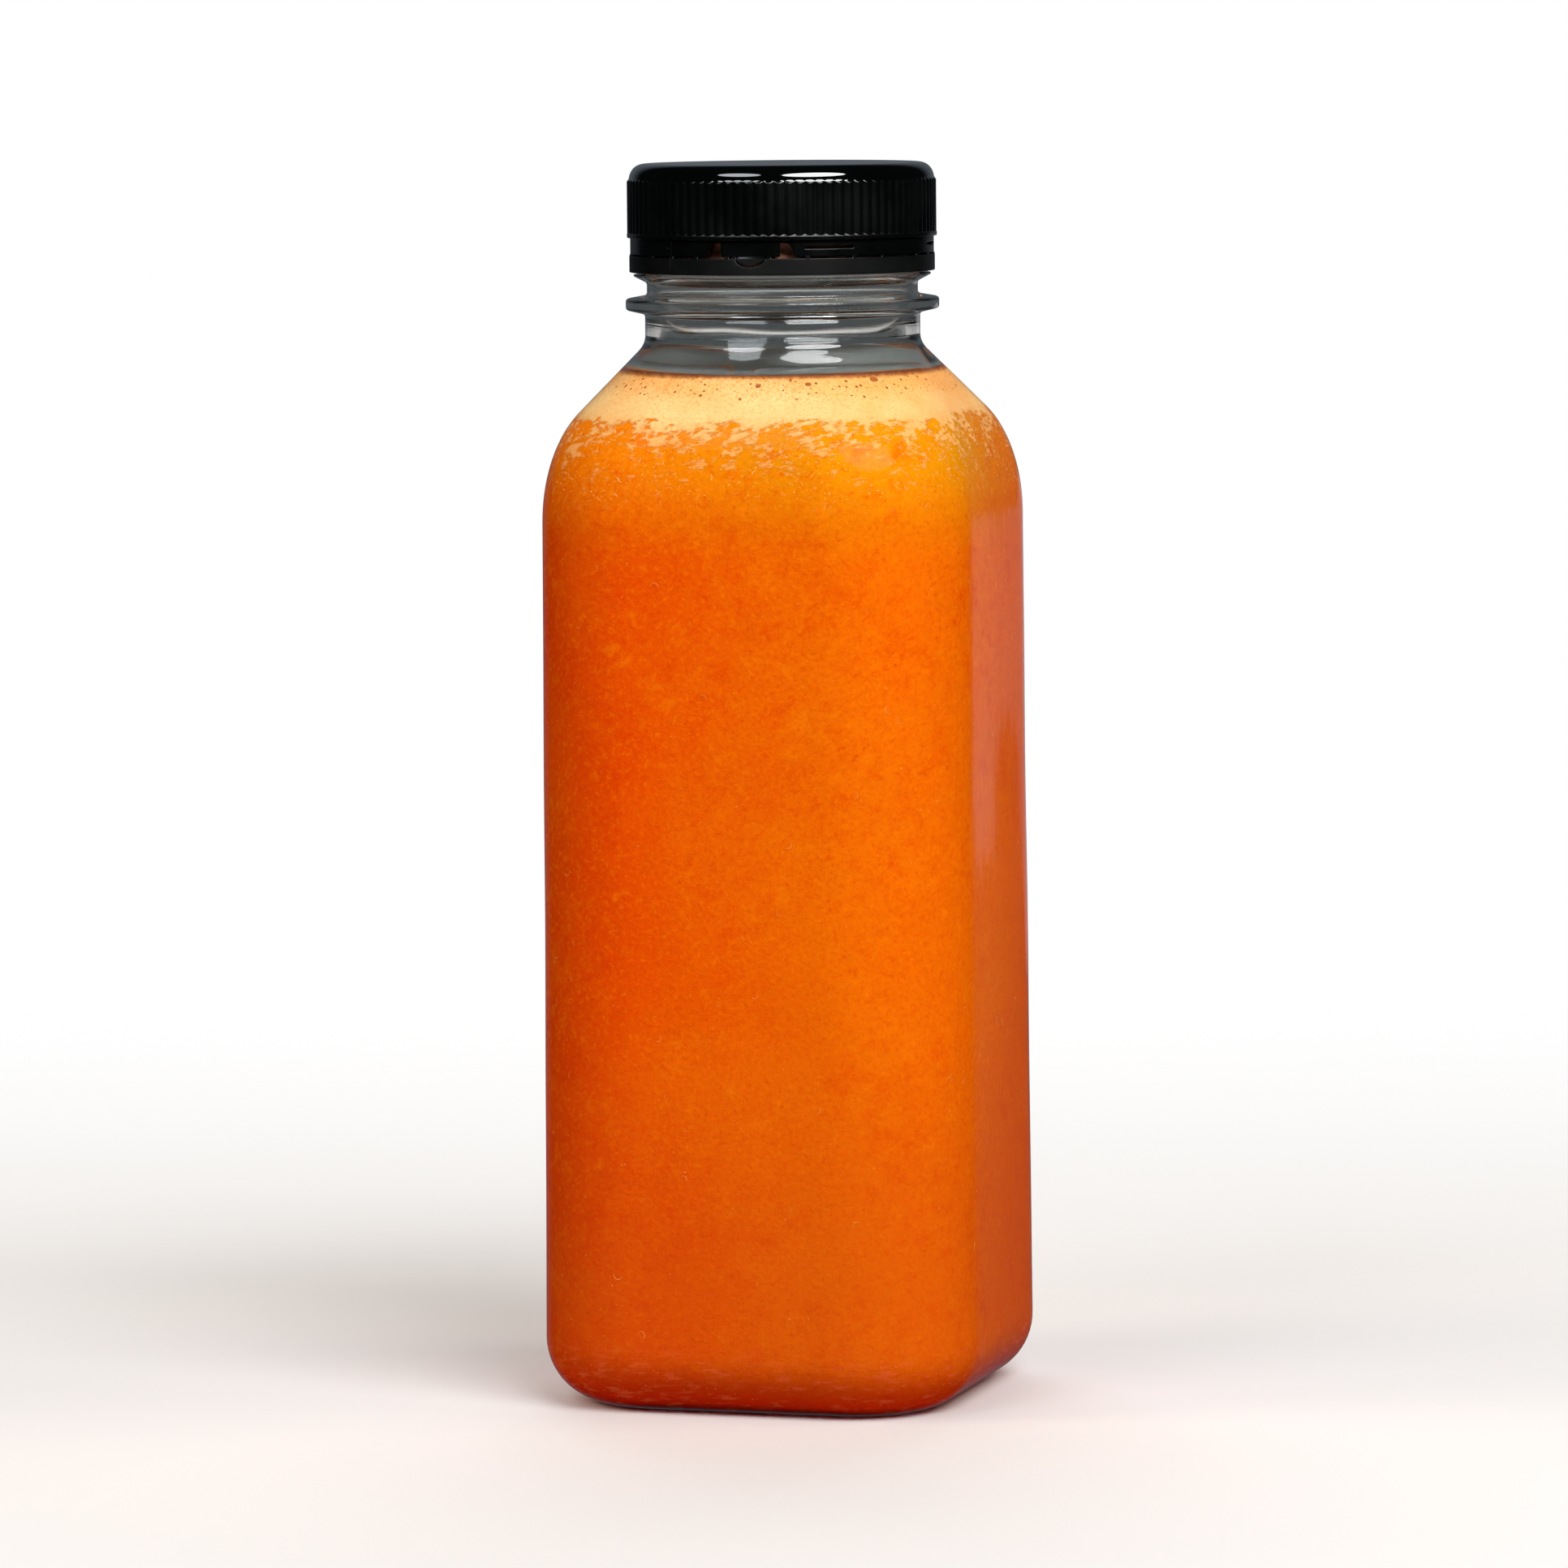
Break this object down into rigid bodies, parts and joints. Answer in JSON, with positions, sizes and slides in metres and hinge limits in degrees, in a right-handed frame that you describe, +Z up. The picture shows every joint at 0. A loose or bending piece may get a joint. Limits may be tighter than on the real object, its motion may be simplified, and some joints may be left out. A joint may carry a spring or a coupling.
{
  "type": "juice bottle",
  "caption": "Shut square clear plastic bottle of orange vegetable juice with a pale foam layer under a round neck and a black ribbed screw cap with tamper band",
  "frame": {"origin": "under the middle of the base, on the surface that the bottle stands on", "axes": "+Z up along the bottle, +X and +Y square to its flat sides, the pictured front side facing -Y"},
  "size_m": [0.0596, 0.0596, 0.1655],
  "materials": {
    "clear_plastic": "clear glossy blow-moulded plastic",
    "black_plastic": "black moulded plastic, glossy on the shoulder and satin on the ribs",
    "juice": "opaque orange juice with fine pulp",
    "foam": "pale cream-orange foam with small bubbles"
  },
  "bodies": {
    "root": {"bottle": "clear_plastic", "cap": "black_plastic", "juice": "juice", "foam": "foam"}
  },
  "joints": []
}
